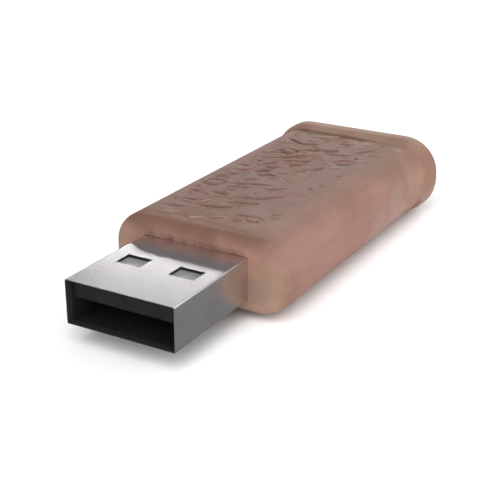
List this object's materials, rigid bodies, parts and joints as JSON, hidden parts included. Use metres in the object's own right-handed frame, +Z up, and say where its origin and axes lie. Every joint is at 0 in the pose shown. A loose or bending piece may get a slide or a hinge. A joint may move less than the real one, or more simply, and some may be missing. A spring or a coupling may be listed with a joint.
{
  "type": "usb flash drive",
  "caption": "Flash drive with a flat wooden body, rounded sides and a carved top, a steel type A plug and a wider rear cap.",
  "frame": {"origin": "centre of the bounding box's bottom face, on the surface that the drive lies on", "axes": "+Y from the plug's mouth to the rear cap, +Z up out of the carved top face, X across"},
  "size_m": [0.0212, 0.0514, 0.0092],
  "materials": {
    "wood": "matte red-brown figured wood with a carved top",
    "adhesive": "cured clear glue",
    "shell_steel": "satin nickel-plated steel sheet",
    "insulator": "matte black moulding",
    "plate_steel": "dull steel sheet",
    "carrier_plastic": "matte black moulding",
    "solder_mask": "green solder mask over glass laminate",
    "gold_plate": "gold flash",
    "solder": "tin",
    "tinned_leads": "matte tin",
    "chip_epoxy": "fine-grained epoxy",
    "crystal_ceramic": "fired ceramic",
    "crystal_steel": "nickel-plated lid",
    "ferrite": "sintered ferrite",
    "capacitor_ceramic": "fired ceramic",
    "resistor_ceramic": "glazed black",
    "led_base": "white laminate",
    "led_resin": "clear resin",
    "foam": "closed-cell foam"
  },
  "bodies": {
    "root": {"wood_body": "wood", "rear_cap": "wood", "cap_adhesive": "adhesive", "plug_shell": "shell_steel", "plug_insulator": "insulator", "shield_plate": "plate_steel", "carrier_tray": "carrier_plastic", "carrier_lid": "carrier_plastic", "circuit_board": "solder_mask", "board_pads": "gold_plate", "solder_joints": "solder", "flash_memory": "chip_epoxy", "flash_memory_leads": "tinned_leads", "controller": "chip_epoxy", "controller_leads": "tinned_leads", "regulator": "chip_epoxy", "regulator_leads": "tinned_leads", "crystal_base": "crystal_ceramic", "crystal_lid": "crystal_steel", "ferrite_bead": "ferrite", "capacitors": "capacitor_ceramic", "resistors": "resistor_ceramic", "chip_terminals": "solder", "activity_led": "led_base", "led_lens": "led_resin", "foam_pad": "foam", "contact_vbus": "gold_plate", "contact_data_minus": "gold_plate", "contact_data_plus": "gold_plate", "contact_ground": "gold_plate"}
  },
  "joints": []
}
